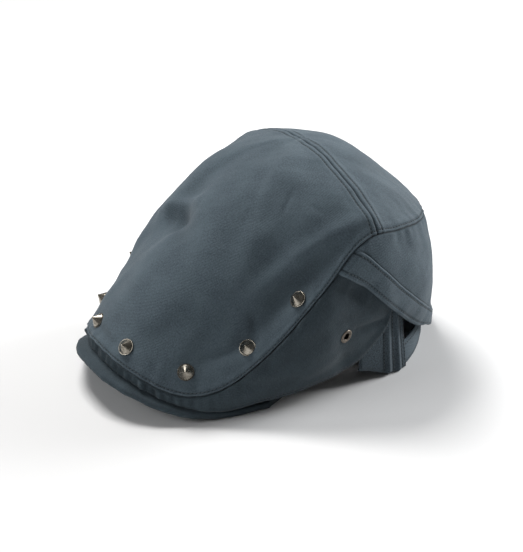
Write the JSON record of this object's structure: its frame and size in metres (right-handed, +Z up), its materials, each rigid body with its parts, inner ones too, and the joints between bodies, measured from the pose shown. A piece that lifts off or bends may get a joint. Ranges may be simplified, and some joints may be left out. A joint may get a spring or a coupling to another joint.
{
  "type": "hunting cap",
  "caption": "Soft flat cap of cotton twill with a cloth covered peak, cone studs along the front seam, a deep back hem and a low strap behind the head.",
  "frame": {"origin": "on the resting plane, under the middle of the whole cap", "axes": "+Z up, the peak towards -Y, the wearer's left side towards +X"},
  "size_m": [0.1896, 0.255, 0.146],
  "materials": {
    "crown_twill": "slate blue-grey cotton twill, soft and matt",
    "side_twill": "slate blue-grey cotton twill, soft and matt",
    "band_twill": "slate blue-grey cotton twill tape, stitched flat",
    "peak_twill": "cotton twill stretched over a stiff crescent",
    "stud_metal": "turned metal with an aged gunmetal plating",
    "eyelet_metal": "rolled metal with an aged gunmetal plating"
  },
  "bodies": {
    "root": {"top_front_panel": "crown_twill", "top_rear_panel": "crown_twill", "back_panel": "crown_twill", "back_hem_band": "side_twill", "side_panel": "side_twill", "inner_band_left": "band_twill", "inner_band_right": "band_twill", "back_strap": "band_twill", "peak": "peak_twill", "stud_left_1": "stud_metal", "stud_left_2": "stud_metal", "stud_left_3": "stud_metal", "stud_left_4": "stud_metal", "stud_right_1": "stud_metal", "stud_right_2": "stud_metal", "stud_right_3": "stud_metal", "stud_right_4": "stud_metal", "eyelet_left": "eyelet_metal", "eyelet_right": "eyelet_metal"}
  },
  "joints": []
}
